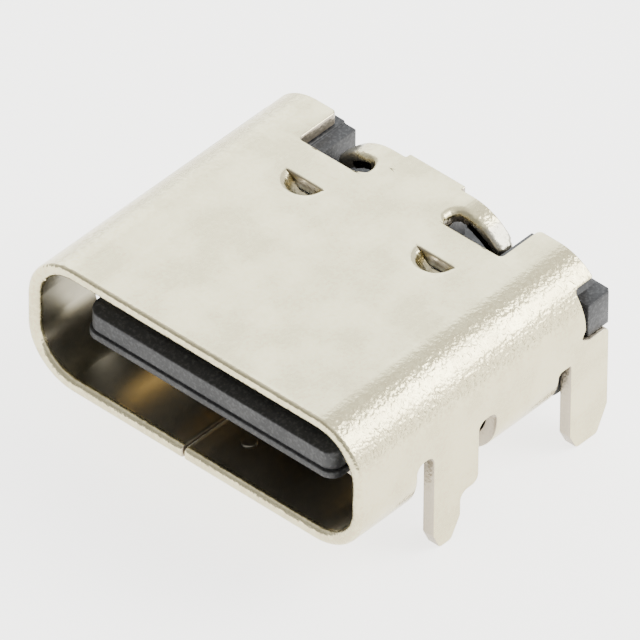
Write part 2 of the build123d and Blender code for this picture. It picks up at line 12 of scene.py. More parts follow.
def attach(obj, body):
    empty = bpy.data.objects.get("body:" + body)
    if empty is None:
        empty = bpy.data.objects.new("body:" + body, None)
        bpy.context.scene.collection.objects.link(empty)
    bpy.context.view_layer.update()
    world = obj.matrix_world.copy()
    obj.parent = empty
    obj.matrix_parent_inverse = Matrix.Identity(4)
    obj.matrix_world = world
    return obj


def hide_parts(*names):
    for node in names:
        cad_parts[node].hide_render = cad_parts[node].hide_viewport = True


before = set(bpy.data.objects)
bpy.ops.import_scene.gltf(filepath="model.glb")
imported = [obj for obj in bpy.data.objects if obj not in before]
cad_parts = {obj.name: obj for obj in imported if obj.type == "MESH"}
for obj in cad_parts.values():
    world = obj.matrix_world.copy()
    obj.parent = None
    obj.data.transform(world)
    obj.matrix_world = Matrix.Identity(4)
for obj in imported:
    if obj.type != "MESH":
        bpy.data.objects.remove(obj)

LOG = logging.getLogger("socket")
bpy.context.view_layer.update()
MM = 0.001
ROOT = "root"
CUT_FACES = "cut_faces"
WEIGHTS = "bevel_weight_edge"
SAME = 1e-3
TOUCHING = 1e-4
ON_PLANE = 1e-5
FLAT = math.radians(0.5)
NOISE_SPAN = (0.3, 0.7)
CLOUD_SPAN = (0.35, 0.65)

Tree = bpy.types.NodeTree
Socket = bpy.types.NodeSocket
Material = bpy.types.Material
Object = bpy.types.Object
Mesh = bmesh.types.BMesh
Edge = bmesh.types.BMEdge
Face = bmesh.types.BMFace
Triple = tuple[float, float, float]
Span = tuple[float, float]


class Side(Enum):
    """The two sides of the socket, as the sign of their X."""

    LEFT = -1
    RIGHT = 1


class Zone(Enum):
    """The parts of the flat sheet that the fold lines turn."""

    WING = "wing"
    SIDE = "side"
    FLOOR = "floor"


class Rounding(Enum):
    """How far an edge of the sheet is rounded, in millimetres."""

    NONE = 0.0
    SHEARED = 0.03
    DOME_REAR = 0.035
    MOUTH_OUTSIDE = 0.09
    SEAM = 0.06
    MOUTH_LEAD_IN = 0.15


def feed(tree: Tree, value: object, target: Socket) -> None:
    """Links a socket to a target, or gives the target a plain value."""
    if isinstance(value, Socket):
        tree.links.new(value, target)
    else:
        target.default_value = value


def math_node(tree: Tree, operation: str, *values: object) -> Socket:
    """Adds a Math node.

    Args:
        tree: the node tree that gets the node.
        operation: the name of the operation, such as MULTIPLY.
        values: numbers, or sockets to link, one for each input.

    Returns:
        The node's output socket.
    """
    node = tree.nodes.new("ShaderNodeMath")
    node.operation = operation
    for socket, value in zip(node.inputs, values):
        feed(tree, value, socket)
    return node.outputs[0]


def product(tree: Tree, first: Socket, *others: object) -> Socket:
    """Multiplies a socket by others, or by numbers, and returns the result's socket."""
    for other in others:
        first = math_node(tree, "MULTIPLY", first, other)
    return first


def largest(tree: Tree, first: Socket, *others: object) -> Socket:
    """Takes the largest of a socket and others, or numbers, and returns the result's socket."""
    for other in others:
        first = math_node(tree, "MAXIMUM", first, other)
    return first


def distance_from(tree: Tree, value: Socket, centre: float) -> Socket:
    """Gives the socket of how far a value is from a number."""
    return math_node(tree, "ABSOLUTE", math_node(tree, "SUBTRACT", value, centre))


def noise_node(tree: Tree, vector: Socket, scale: object, detail: float, roughness: float = 0.5) -> Socket:
    """Adds a Noise Texture.

    Args:
        tree: the node tree that gets the node.
        vector: the coordinates, in millimetres.
        scale: waves in a millimetre, as a number or a socket.
        detail: how many finer layers are added.
        roughness: how strong the finer layers are.

    Returns:
        The socket of the noise's value.
    """
    node = tree.nodes.new("ShaderNodeTexNoise")
    feed(tree, vector, node.inputs["Vector"])
    for label, value in (("Scale", scale), ("Detail", detail), ("Roughness", roughness)):
        feed(tree, value, node.inputs[label])
    return node.outputs["Fac"]


def ramp_node(
    tree: Tree, value: Socket, span: Span, result: Span = (0.0, 1.0), origin: float = 0.0
) -> Socket:
    """Adds a smooth Map Range node.

    Args:
        tree: the node tree that gets the node.
        value: the socket to map.
        span: the two values between which the result changes.
        result: the results at and below the first value, and at and above the second.
        origin: a number that both values are counted from.

    Returns:
        The socket of the mapped value.
    """
    node = tree.nodes.new("ShaderNodeMapRange")
    node.interpolation_type = "SMOOTHSTEP"
    feed(tree, value, node.inputs["Value"])
    limits = (origin + span[0], origin + span[1], *result)
    for label, limit in zip(("From Min", "From Max", "To Min", "To Max"), limits):
        node.inputs[label].default_value = limit
    return node.outputs["Result"]


def new_material(name: str, metallic: float = 0.0) -> tuple[Material, bpy.types.Node]:
    """Makes a material.

    Args:
        name: the material's name.
        metallic: 1 for a metal and 0 for anything else.

    Returns:
        The material and its shader.
    """
    material = bpy.data.materials.new(name)
    material.use_nodes = True
    shader = material.node_tree.nodes["Principled BSDF"]
    shader.inputs["Metallic"].default_value = metallic
    return material, shader


def millimetres(tree: Tree, stretch: Triple = (1, 1, 1)) -> Socket:
    """Adds the piece's own coordinates in millimetres.

    Args:
        tree: the node tree that gets the nodes.
        stretch: how much each direction is squeezed, so that a pattern runs along one of them.

    Returns:
        The socket of the coordinates.
    """
    place = tree.nodes.new("ShaderNodeTexCoord")
    scale = tree.nodes.new("ShaderNodeMapping")
    scale.inputs["Scale"].default_value = tuple(k / MM for k in stretch)
    feed(tree, place.outputs["Object"], scale.inputs["Vector"])
    return scale.outputs["Vector"]


@dataclass(frozen=True)
class GrainEffect:
    """A fine relief and a slow cloudiness that several finishes share."""

    name: str = "grain_and_clouds"

    def group(self) -> Tree:
        """Builds the group once and returns it."""
        found = bpy.data.node_groups.get(self.name)
        if found:
            return found
        tree = bpy.data.node_groups.new(self.name, "ShaderNodeTree")
        for direction, labels in (("INPUT", ("Grain Scale", "Cloud Scale")), ("OUTPUT", ("Grain", "Clouds"))):
            for label in labels:
                tree.interface.new_socket(name=label, in_out=direction, socket_type="NodeSocketFloat")
        inside, outside = tree.nodes.new("NodeGroupInput"), tree.nodes.new("NodeGroupOutput")
        place = millimetres(tree)
        grain = noise_node(tree, place, inside.outputs["Grain Scale"], 3.0, 0.6)
        clouds = noise_node(tree, place, inside.outputs["Cloud Scale"], 2.0)
        feed(tree, grain, outside.inputs["Grain"])
        feed(tree, clouds, outside.inputs["Clouds"])
        return tree

    def place(self, tree: Tree, grain_scale: float, cloud_scale: float) -> tuple[Socket, Socket]:
        """Puts the group into a material.

        Args:
            tree: the material's node tree.
            grain_scale: grains in a millimetre.
            cloud_scale: clouds in a millimetre.

        Returns:
            The sockets of the grain and of the clouds.
        """
        node = tree.nodes.new("ShaderNodeGroup")
        node.node_tree = self.group()
        node.inputs["Grain Scale"].default_value = grain_scale
        node.inputs["Cloud Scale"].default_value = cloud_scale
        return node.outputs["Grain"], node.outputs["Clouds"]


def mix_colours(tree: Tree, share: Socket, first: object, second: Triple) -> Socket:
    """Mixes two colours.

    Args:
        tree: the material's node tree.
        share: the socket that gives the second colour's share.
        first: the colour at share 0, plain or as a socket.
        second: the colour at share 1.

    Returns:
        The socket of the mixed colour.
    """
    node = tree.nodes.new("ShaderNodeMix")
    node.data_type = "RGBA"
    feed(tree, share, node.inputs["Factor"])
    start, end = (socket for socket in node.inputs if socket.type == "RGBA")
    feed(tree, first if isinstance(first, Socket) else (*first, 1.0), start)
    end.default_value = (*second, 1.0)
    return next(socket for socket in node.outputs if socket.type == "RGBA")


def bump_node(tree: Tree, height: Socket, depth_mm: float, strength: float) -> Socket:
    """Adds a Bump node.

    Args:
        tree: the material's node tree.
        height: the socket of the relief's height.
        depth_mm: how deep a height of 1 is.
        strength: how strongly the relief shows.

    Returns:
        The socket of the bent normal.
    """
    node = tree.nodes.new("ShaderNodeBump")
    node.inputs["Strength"].default_value = strength
    node.inputs["Distance"].default_value = depth_mm * MM
    feed(tree, height, node.inputs["Height"])
    return node.outputs["Normal"]


@dataclass(frozen=True)
class Place:
    """Where a point is, as sockets in millimetres: its distance from the middle, its Y and its Z."""

    tree: Tree
    reach: Socket
    y: Socket
    z: Socket


@dataclass(frozen=True)
class NickelPlate:
    """Satin nickel on rolled sheet: clouds, a rough skin where formed, a dull inside darkened with painted
    shade, brownish cut faces and a painted highlight in the dome pits.

    A fade is the pair of distances, from a bend, the roof or the mouth, between which a mask changes.
    """

    shell: "FoldedShell"
    light: Triple = (0.58, 0.53, 0.335)
    dark: Triple = (0.50, 0.45, 0.28)
    # inner colour: painted shade that darkens the inside of the sheet
    inner_shade: Triple = (0.35, 0.33, 0.265)
    cut: Triple = (0.34, 0.30, 0.235)
    # pressed colour: a painted highlight that brightens the dome pits
    dome_pit_highlight: Triple = (0.90, 0.87, 0.76)
    grain_scale: float = 16.0
    cloud_scale: float = 0.9
    cloud_range: Span = (0.1, 0.9)
    skin_scale: float = 11.0
    fleck_strength: float = 6.0
    fleck_on_flats: float = 0.3
    smudged: Span = (0.21, 0.28)
    rolled: Triple = (6.0, 0.8, 6.0)
    streak: float = 0.015
    inner_roughness: float = 0.08
    cut_roughness: float = 0.12
    peel_depth: float = 0.018
    peel_on_flats: float = 0.05
    grain_share: float = 0.05
    # where the duller inside with its painted shade begins, counted from the mouth
    dull_and_shade_fade: Span = (0.12, 0.20)
    lip_fade: Span = (0.02, 0.16)
    bend_start_fade: Span = (-0.10, 0.45)
    bend_end_fade: Span = (-0.10, 0.0)
    middle_fade: Span = (-0.50, -0.30)
    roof_fade: Span = (-0.06, -0.01)
    low_fade: Span = (-0.80, -0.50)
    skin_fade: Span = (-0.26, -0.16)
    dome_y: float = 1.33
    dome_reach: float = 0.56
    scuff_y: float = -2.35
    scuff_z: float = 1.0
    scuff_size: float = 0.6
    scuff_scale: float = 7.0
    scuff_stretch: Triple = (1.0, 1.0, 0.6)
    scuff_reach: float = 0.9
    scuff_span: Span = (0.60, 0.66)
    scuff_strength: float = 0.8
    scuff_core: Span = (0.1, 0.2)

    def make(self) -> Material:
        """Builds the material and returns it."""
        material, shader = new_material("nickel_plate", 1.0)
        tree = material.node_tree
        at = self._place(tree)
        grain, clouds = GrainEffect().place(tree, self.grain_scale, self.cloud_scale)
        outside = self._outside(at)
        formed = self._formed(at, outside)
        dome = self._dome_zone(at)
        lip = ramp_node(tree, at.y, self.dull_and_shade_fade, (1.0, 0.0), -self.shell.middle)
        # inside: the inside away from the mouth, which gets painted shade in its colour and more roughness
        inside = math_node(tree, "SUBTRACT", 1.0, largest(tree, outside, dome, lip))
        # the dome pits below the roof get the painted highlight colour
        dome_pit_highlight = product(tree, dome, math_node(tree, "SUBTRACT", 1.0, outside))
        mark = tree.nodes.new("ShaderNodeAttribute")
        mark.attribute_name = CUT_FACES
        is_cut = ramp_node(tree, mark.outputs["Fac"], NOISE_SPAN)

        fine = noise_node(tree, millimetres(tree), self.skin_scale, 1.0, 0.7)
        where = largest(tree, formed, self.fleck_on_flats)
        flecks = product(tree, math_node(tree, "SUBTRACT", fine, 0.5), where)
        cloudy = ramp_node(tree, clouds, CLOUD_SPAN, self.cloud_range)
        share = math_node(tree, "MULTIPLY_ADD", flecks, self.fleck_strength, cloudy)
        plate = mix_colours(tree, share, self.light, self.dark)
        # mixes in the scuffs, the painted shade inside, the cut faces and the painted highlight in the dome
        # pits
        for mask, colour in (
            (self._scuffs(at), self.cut), (inside, self.inner_shade), (is_cut, self.cut), (dome_pit_highlight, self.dome_pit_highlight)
        ):
            plate = mix_colours(tree, mask, plate, colour)
        feed(tree, plate, shader.inputs["Base Color"])

        rolled = noise_node(tree, millimetres(tree, self.rolled), 1.0, 2.0)
        streaks = ramp_node(tree, rolled, NOISE_SPAN, (-self.streak, self.streak))
        skin = math_node(tree, "ADD", ramp_node(tree, clouds, NOISE_SPAN, self.smudged), streaks)
        for mask, more in ((inside, self.inner_roughness), (is_cut, self.cut_roughness)):
            skin = math_node(tree, "MULTIPLY_ADD", mask, more, skin)
        feed(tree, skin, shader.inputs["Roughness"])

        peel = noise_node(tree, millimetres(tree), self.skin_scale, 1.0)
        peel = product(tree, peel, math_node(tree, "ADD", formed, self.peel_on_flats))
        relief = math_node(tree, "ADD", peel, product(tree, grain, self.grain_share))
        feed(tree, bump_node(tree, relief, self.peel_depth, 1.0), shader.inputs["Normal"])
        return material

    def _place(self, tree: Tree) -> Place:
        """Adds the nodes that say where a point is."""
        split = tree.nodes.new("ShaderNodeSeparateXYZ")
        feed(tree, millimetres(tree), split.inputs["Vector"])
        reach = math_node(tree, "ABSOLUTE", split.outputs["X"])
        return Place(tree, reach, split.outputs["Y"], split.outputs["Z"])

    def _dome_zone(self, at: Place) -> Socket:
        """Gives the mask that is 1 round the two domes in the roof."""
        near = math_node(at.tree, "COMPARE", at.reach, self.shell.dome_x, self.dome_reach)
        along = math_node(at.tree, "COMPARE", at.y, self.dome_y, self.dome_reach)
        return product(at.tree, near, along, math_node(at.tree, "GREATER_THAN", at.z, self.shell.height / 2))

    def _scuffs(self, at: Place) -> Socket:
        """Gives the mask of the small scuffs low on the side walls near the mouth."""
        tree = at.tree
        spots = noise_node(tree, millimetres(tree, self.scuff_stretch), self.scuff_scale, 3.0, 0.7)
        spots = ramp_node(tree, spots, self.scuff_span, (0.0, self.scuff_strength))
        near, level = (
            ramp_node(tree, distance_from(tree, value, centre), (core, self.scuff_size), (1.0, 0.0))
            for value, centre, core in (
                (at.y, self.scuff_y, self.scuff_core[0]), (at.z, self.scuff_z, self.scuff_core[1])
            )
        )
        side = math_node(tree, "GREATER_THAN", at.reach, self.shell.flat_half + self.scuff_reach)
        return product(tree, near, level, side, spots)

    def _formed(self, at: Place, outside: Socket) -> Socket:
        """Gives the mask that is 1 where the sheet was bent, pressed or coined and 0 on the flats.

        Args:
            at: where the point is.
            outside: the socket of the mask of the outside.

        Returns:
            The socket of the mask.
        """
        tree, start = at.tree, self.shell.flat_half
        rise = ramp_node(tree, at.reach, self.bend_start_fade, (0.0, 1.0), start)
        fall = ramp_node(tree, at.reach, self.bend_end_fade, (1.0, 0.0), self.shell.width / 2)
        below = ramp_node(tree, at.z, self.roof_fade, (0.8, 0.0), self.shell.height)
        above = ramp_node(tree, at.z, self.low_fade, (0.0, 1.0), self.shell.height)
        middle = ramp_node(tree, at.reach, self.middle_fade, (1.0, 0.0), start)
        lip = ramp_node(tree, at.y, self.lip_fade, (0.6, 0.0), -self.shell.middle)
        bend, press = product(tree, rise, fall, outside), product(tree, below, above, middle)
        return largest(tree, bend, press, lip)

    def _outside(self, at: Place) -> Socket:
        """Gives the mask that is 1 on the outside of the sheet and 0 on its inside."""
        tree, half, radius = at.tree, self.shell.height / 2, self.shell.bend
        across = largest(tree, math_node(tree, "SUBTRACT", at.reach, self.shell.flat_half), 0.0)
        up = math_node(tree, "SUBTRACT", distance_from(tree, at.z, half), half - radius)
        up = largest(tree, up, 0.0)
        squares = math_node(tree, "ADD", product(tree, across, across), product(tree, up, up))
        return ramp_node(tree, math_node(tree, "SQRT", squares), self.skin_fade, (0.0, 1.0), radius)


@dataclass(frozen=True)
class MouldedPlastic:
    """Dark glass-filled plastic with a matte, faintly speckled skin."""

    name: str
    base: Triple = (0.020, 0.0205, 0.022)
    speck: Triple = (0.050, 0.051, 0.053)
    speck_span: Span = (0.45, 0.72)
    smudged: Span = (0.44, 0.58)
    shine: float = 0.3
    grain_scale: float = 14.0
    cloud_scale: float = 1.1
    relief: float = 0.02

    def make(self) -> Material:
        """Builds the material and returns it."""
        material, shader = new_material(self.name)
        tree = material.node_tree
        grain, clouds = GrainEffect().place(tree, self.grain_scale, self.cloud_scale)
        share = ramp_node(tree, grain, self.speck_span)
        feed(tree, mix_colours(tree, share, self.base, self.speck), shader.inputs["Base Color"])
        feed(tree, ramp_node(tree, clouds, NOISE_SPAN, self.smudged), shader.inputs["Roughness"])
        feed(tree, bump_node(tree, grain, self.relief, 0.30), shader.inputs["Normal"])
        shader.inputs["Specular IOR Level"].default_value = self.shine
        return material


@dataclass(frozen=True)
class StampedMetal:
    """Plain stamped metal with fine rolling streaks, for the contacts and the latch plate."""

    name: str
    light: Triple
    dark: Triple
    roughness: float
    streak: float = 0.05
    rolled: Triple = (14.0, 0.7, 14.0)
    grain_scale: float = 18.0
    cloud_scale: float = 1.5
    relief: float = 0.004

    def make(self) -> Material:
        """Builds the material and returns it."""
        material, shader = new_material(self.name, 1.0)
        tree = material.node_tree
        grain, clouds = GrainEffect().place(tree, self.grain_scale, self.cloud_scale)
        share = ramp_node(tree, clouds, CLOUD_SPAN)
        feed(tree, mix_colours(tree, share, self.light, self.dark), shader.inputs["Base Color"])
        rolled = noise_node(tree, millimetres(tree, self.rolled), 1.0, 2.0)
        span = (self.roughness - self.streak, self.roughness + self.streak)
        feed(tree, ramp_node(tree, rolled, NOISE_SPAN, span), shader.inputs["Roughness"])
        feed(tree, bump_node(tree, grain, self.relief, 0.25), shader.inputs["Normal"])
        return material


def finished_object(name: str, bm: Mesh, material: Material) -> Object:
    """Turns a mesh in millimetres into an object in metres at the origin.

    Args:
        name: the piece's name.
        bm: the mesh, which is freed.
        material: the piece's only material.

    Returns:
        The new object, linked to the scene.
    """
    bmesh.ops.scale(bm, vec=(MM, MM, MM), verts=bm.verts)
    for face in bm.faces:
        face.smooth = True
    mesh = bpy.data.meshes.new(name)
    bm.to_mesh(mesh)
    bm.free()
    mesh.materials.append(material)
    piece = bpy.data.objects.new(name, mesh)
    bpy.context.scene.collection.objects.link(piece)
    return piece


def weigh_edges(bm: Mesh, rounding_of: Callable[[Edge], float], sharp_from: float) -> None:
    """Writes how strongly the Bevel modifier rounds each edge.

    Args:
        bm: the mesh.
        rounding_of: a function from an edge to its share of the widest rounding.
        sharp_from: the angle between two faces, in degrees, from which an edge counts as sharp.
    """
    layer = bm.edges.layers.float.new(WEIGHTS)
    for edge in bm.edges:
        if len(edge.link_faces) == 2 and edge.calc_face_angle() > math.radians(sharp_from):
            edge[layer] = rounding_of(edge)


def cut_faces(bm: Mesh, faces: list[Face], spot: Triple, direction: Triple) -> None:
    """Cuts some of a mesh's faces along a plane, in a fixed order.

    Args:
        bm: the mesh.
        faces: the faces to cut.
        spot: a point of the plane.
        direction: the plane's normal.
    """
    geom = dict.fromkeys(item for face in faces for item in (face, *face.edges, *face.verts))
    bmesh.ops.bisect_plane(bm, geom=list(geom), dist=ON_PLANE, plane_co=spot, plane_no=direction)


def in_fixed_order(bm: Mesh) -> Mesh:
    """Copies a mesh with its faces in a fixed order, so that each run of the script gives the same piece.

    Args:
        bm: the mesh, which is freed.

    Returns:
        The copy.
    """
    bm.verts.index_update()
    loops = []
    for face in bm.faces:
        loop = [vert.index for vert in face.verts]
        first = loop.index(min(loop))
        loops.append(loop[first:] + loop[:first])
    done = bmesh.new()
    verts = [done.verts.new(vert.co) for vert in bm.verts]
    for loop in sorted(loops):
        done.faces.new([verts[i] for i in loop])
    bm.free()
    return done


def carve(bm: Mesh, tool: Mesh) -> Mesh:
    """Takes one closed mesh away from another.

    Args:
        bm: the mesh to cut, which is freed.
        tool: the mesh to cut away, which is freed.

    Returns:
        The cut mesh.
    """
    pieces = []
    for name, source in (("work", bm), ("tool", tool)):
        mesh = bpy.data.meshes.new(name)
        source.to_mesh(mesh)
        source.free()
        piece = bpy.data.objects.new(name, mesh)
        bpy.context.scene.collection.objects.link(piece)
        pieces.append(piece)
    work, cutter = pieces
    cut = work.modifiers.new("cut", "BOOLEAN")
    cut.operation = "DIFFERENCE"
    cut.solver = "EXACT"
    cut.object = cutter
    result = bpy.data.meshes.new_from_object(work.evaluated_get(bpy.context.evaluated_depsgraph_get()))
    done = bmesh.new()
    done.from_mesh(result)
    bpy.data.meshes.remove(result)
    for piece in pieces:
        bpy.data.meshes.remove(piece.data)
    return done


def soften(piece: Object, width_mm: float, segments: int) -> None:
    """Adds the modifiers that round the weighed edges and even out the normals.

    Args:
        piece: the object.
        width_mm: the rounding of an edge of weight 1.
        segments: how many steps a rounding has.
    """
    bevel = piece.modifiers.new("rounded_edges", "BEVEL")
    bevel.limit_method = "WEIGHT"
    bevel.width = width_mm * MM
    bevel.segments = segments
    bevel.profile = 0.5
    bevel.miter_outer = "MITER_ARC"
    bevel.use_clamp_overlap = False
    normals = piece.modifiers.new("even_normals", "WEIGHTED_NORMAL")
    normals.mode = "FACE_AREA"
    normals.weight = 50
    normals.keep_sharp = False


@dataclass(frozen=True)
class Corner:
    """A corner of the flat sheet: distance across the sheet, depth behind the mouth and rounding."""

    across: float
    depth: float
    radius: float = 0.0

    def mirrored(self) -> "Corner":
        """Gives the same corner on the other side."""
        return Corner(-self.across, self.depth, self.radius)


@dataclass(frozen=True)
class Crease:
    """A fold line: its place across the flat sheet, its angle in radians and the zone that it turns."""

    place: float
    angle: float
    zone: Zone


@dataclass
class FoldedShell:
    """The shell, made as the real one is: a flat stamped sheet, folded, pressed and given its thickness."""

    length: float = 7.35
    height: float = 3.16
    width: float = 8.94
    sheet: float = 0.30
    bend: float = 1.23
    bend_steps: int = 24
    ring: float = 1.68
    seam_x: float = -0.28
    seam_gap: float = 0.03
    strip_side: float = 0.74
    strip_corner: float = 0.15
    slot_radius: float = 0.20
    slot_top: float = 1.50
    middle_slot_top: float = 1.47
    rear_slot_top: float = 1.25
    rear_slot_radius: float = 0.10
    tip_corner: float = 0.12
    tip_rise: float = 0.40
    front_tip: Triple = (0.19, 0.27, 0.48)
    rear_tip: Triple = (0.20, 0.30, 0.62)
    shoulder: float = 0.20
    reach: float = 1.03
    front_stake: float = 2.17
    front_tip_end: float = 2.97
    front_end: float = 3.50
    middle_end: float = 4.02
    floor_rear: float = 5.87
    rear_stake: float = 6.23
    window: float = 6.66
    window_angle: float = 47.3
    window_radius: float = 0.12
    window_floor: float = 1.59
    stake_top: float = 0.15
    relief_floor: float = 1.72
    relief_back: float = 0.11
    ear: float = 6.79
    roof: float = 7.22
    roof_corner: float = 0.12
    notch: float = 6.08
    notch_half: float = 2.70
    notch_corner: float = 0.10
    neck_half: float = 1.06
    notch_end: float = 0.22
    wing: float = 6.62
    wing_rear: float = 7.10
    wing_radius: float = 1.30
    wing_angle: float = 40.0
    wing_flat: float = 0.50
    wing_corner: float = 0.20
    wing_steps: int = 12
    wing_zone_side: float = 0.05
    wing_zone_depth: float = 0.30
    stake_zone: float = 0.10
    rim_radius: float = 0.15
    rim_grid: float = 0.03
    rim_before_neck: float = 0.25
    rim_before_notch: float = 0.12
    rim_past_tip: float = 0.20
    rim_slack: float = 0.02
    tab_half: float = 0.75
    tab_proud: float = 0.13
    small: float = 0.05
    corner_steps: int = 6
    bevel_steps: int = 4
    dome_x: float = 1.75
    dome_depth: float = 5.22
    dome_half: float = 0.52
    dome_press: float = 0.32
    dome_slope: float = 0.75
    dome_end: float = 0.09
    dome_room: float = 0.06
    dome_rings: int = 14
    dome_steps: int = 28
    crescent_x: float = 0.60
    crescent_depth: float = 1.00
    crescent_radius: float = 0.15
    crescent_width: float = 0.05
    crescent_press: float = 0.03
    crescent_steps: int = 32
    sheet_slack: float = 0.012
    sheared_from: float = 60.0
    sharp_from: float = 30.0

    @property
    def flat_half(self) -> float:
        """Half the flat width of the roof."""
        return self.width / 2 - self.bend

    @property
    def arc(self) -> float:
        """The length of one bend on the outside."""
        return self.bend * math.pi / 2

    @property
    def middle(self) -> float:
        """The depth of the socket's origin."""
        return self.length / 2

    def at_height(self, height: float) -> float:
        """Gives the place across the flat sheet of a height on the side wall."""
        return self.flat_half + self.arc + (self.height - self.bend - height)

    def on_floor(self, x: float) -> float:
        """Gives the place across the flat sheet of an X on the floor."""
        return self.at_height(self.bend) + self.arc + self.flat_half - x

    def _stake_end(self, front: float, back: float, tip: Triple) -> list[Corner]:
        """Lays out the four corners of a stake's point.

        Args:
            front: the depth of the stake's front edge.
            back: the depth of its back edge.
            tip: how far the tip is from both edges, and how high the point's back corner is.

        Returns:
            The corners from front to back.
        """
        low = -self.reach
        point = ((low, front + tip[0]), (low, back - tip[1]))
        spots = ((low + self.tip_rise, front), *point, (low + tip[2], back))
        return [Corner(self.at_height(height), depth, self.tip_corner) for height, depth in spots]

    def half_pattern(self, seam: float) -> list[Corner]:
        """Lays out one half of the flat sheet's outline.

        Args:
            seam: how far towards this side of the middle the seam's edge is.

        Returns:
            The corners from the seam round to the tab on the rear edge.
        """
        high = self.height - self.bend
        wing_end = self.neck_half + self.wing_radius * math.radians(self.wing_angle) + self.wing_flat
        window_top = self.flat_half + self.bend * math.radians(self.window_angle)
        return [
            Corner(self.on_floor(seam), 0),
            Corner(self.on_floor(seam), self.floor_rear),
            Corner(self.at_height(self.rear_slot_top), self.floor_rear, self.rear_slot_radius),
            Corner(self.at_height(self.rear_slot_top), self.rear_stake, self.small),
            *self._stake_end(self.rear_stake, self.length, self.rear_tip),
            Corner(self.at_height(self.window_floor), self.length, self.stake_top),
            Corner(self.at_height(self.window_floor), self.ear),
            Corner(self.at_height(self.relief_floor), self.window - self.relief_back, self.small),
            Corner(self.at_height(high), self.window),
            Corner(window_top, self.window, self.window_radius),
            Corner(window_top, self.roof, self.small),
            Corner(self.notch_half, self.roof, self.roof_corner),
            Corner(self.notch_half, self.notch, self.notch_corner),
            Corner(self.neck_half, self.notch, self.notch_end),
            Corner(self.neck_half, self.wing, self.notch_end),
            Corner(wing_end, self.wing, self.wing_corner),
            Corner(wing_end, self.wing_rear, self.wing_corner),
            Corner(self.tab_half, self.wing_rear),
            Corner(self.tab_half, self.wing_rear + self.tab_proud, self.small),
        ]

    def side_hole(self) -> list[Corner]:
        """Lays out the hole in the right half that the front stake is cut from, with its two slots."""
        strip = self.on_floor(self.flat_half - self.strip_side)
        return [
            Corner(strip, self.ring, self.strip_corner),
            Corner(self.at_height(self.slot_top), self.ring, self.slot_radius),
            Corner(self.at_height(self.slot_top), self.front_stake, self.slot_radius),
            *self._stake_end(self.front_stake, self.front_tip_end, self.front_tip),
            Corner(self.at_height(0), self.front_tip_end, self.shoulder),
            Corner(self.at_height(0), self.front_end, self.shoulder),
            Corner(self.at_height(self.middle_slot_top), self.front_end, self.slot_radius),
            Corner(self.at_height(self.middle_slot_top), self.middle_end, self.slot_radius),
            Corner(strip, self.middle_end, self.strip_corner),
        ]

    def _loop(self, bm: Mesh, corners: list[Corner]) -> None:
        """Draws one closed outline on the flat sheet and rounds its corners.

        Args:
            bm: the mesh.
            corners: the outline's corners in order.
        """
        verts = [bm.verts.new((c.across, c.depth, self.height)) for c in corners]
        bm.faces.new(verts)
        count = len(corners)
        offsets = []
        for i, corner in enumerate(corners):
            before = (verts[i - 1].co - verts[i].co).normalized()
            after = (verts[(i + 1) % count].co - verts[i].co).normalized()
            offsets.append(corner.radius / math.tan(before.angle(after) / 2))
        for vert, offset in zip(verts, offsets):
            if offset > 0:
                bmesh.ops.bevel(
                    bm, geom=[vert], offset=offset, offset_type="OFFSET", affect="VERTICES",
                    segments=self.corner_steps, profile=0.5, material=-1, clamp_overlap=False,
                )

    def _outline(self, bm: Mesh) -> None:
        """Draws the flat sheet's outline and the two side holes, as closed loops of edges."""
        right = self.half_pattern(self.seam_x + self.seam_gap / 2)
        left = [corner.mirrored() for corner in self.half_pattern(-self.seam_x + self.seam_gap / 2)]
        self._loop(bm, right + left[::-1])
        self._loop(bm, self.side_hole())
        self._loop(bm, [corner.mirrored() for corner in self.side_hole()])
        bmesh.ops.delete(bm, geom=list(bm.faces), context="FACES_ONLY")

    def _dome_hole(self, bm: Mesh, side: Side) -> None:
        """Draws the half-round hole in the flat sheet that a dome fills."""
        centre = Vector((side.value * self.dome_x, self.dome_depth, self.height))
        made = bmesh.ops.create_circle(
            bm, cap_ends=False, segments=2 * self.dome_steps, radius=self.dome_half,
            matrix=Matrix.Translation(centre),
        )["verts"]
        behind = [v for v in made if v.co.y > self.dome_depth + TOUCHING]
        bmesh.ops.delete(bm, geom=behind, context="VERTS")
        ends = [v for v in made if v.is_valid and abs(v.co.y - self.dome_depth) < TOUCHING]
        bm.edges.new(ends)

    def _creases(self) -> list[Crease]:
        """Lists the fold lines, from the outermost inwards."""
        creases = []
        turn = math.radians(self.wing_angle)
        for zone, start, length, angle, steps in (
            (Zone.WING, self.neck_half, self.wing_radius * turn, turn, self.wing_steps),
            (Zone.SIDE, self.flat_half, self.arc, math.pi / 2, self.bend_steps),
            (Zone.FLOOR, self.at_height(self.bend), self.arc, math.pi / 2, self.bend_steps),
        ):
            for i in range(steps + 1):
                share = 0.5 if i in (0, steps) else 1.0
                creases.append(Crease(start + length * i / steps, angle / steps * share, zone))
        return sorted(creases, key=lambda crease: crease.place, reverse=True)

    def _in_zone(self, place: Vector, crease: Crease) -> bool:
        """Says whether a point of the flat sheet turns about a fold line on its side.

        Args:
            place: the point on the flat sheet.
            crease: the fold line.

        Returns:
            Whether the point turns.
        """
        across = abs(place.x)
        if across <= crease.place + TOUCHING:
            return False
        if crease.zone is Zone.WING:
            on_strip = place.y > self.notch + self.wing_zone_depth
            return on_strip and across < self.notch_half - self.wing_zone_side
        if crease.zone is Zone.SIDE:
            return True
        if place.y > (self.floor_rear + self.rear_stake) / 2:
            return False
        beside_stake = self.front_stake - SAME < place.y < self.front_end + SAME
        return not (beside_stake and across < self.at_height(-self.reach) + self.stake_zone)

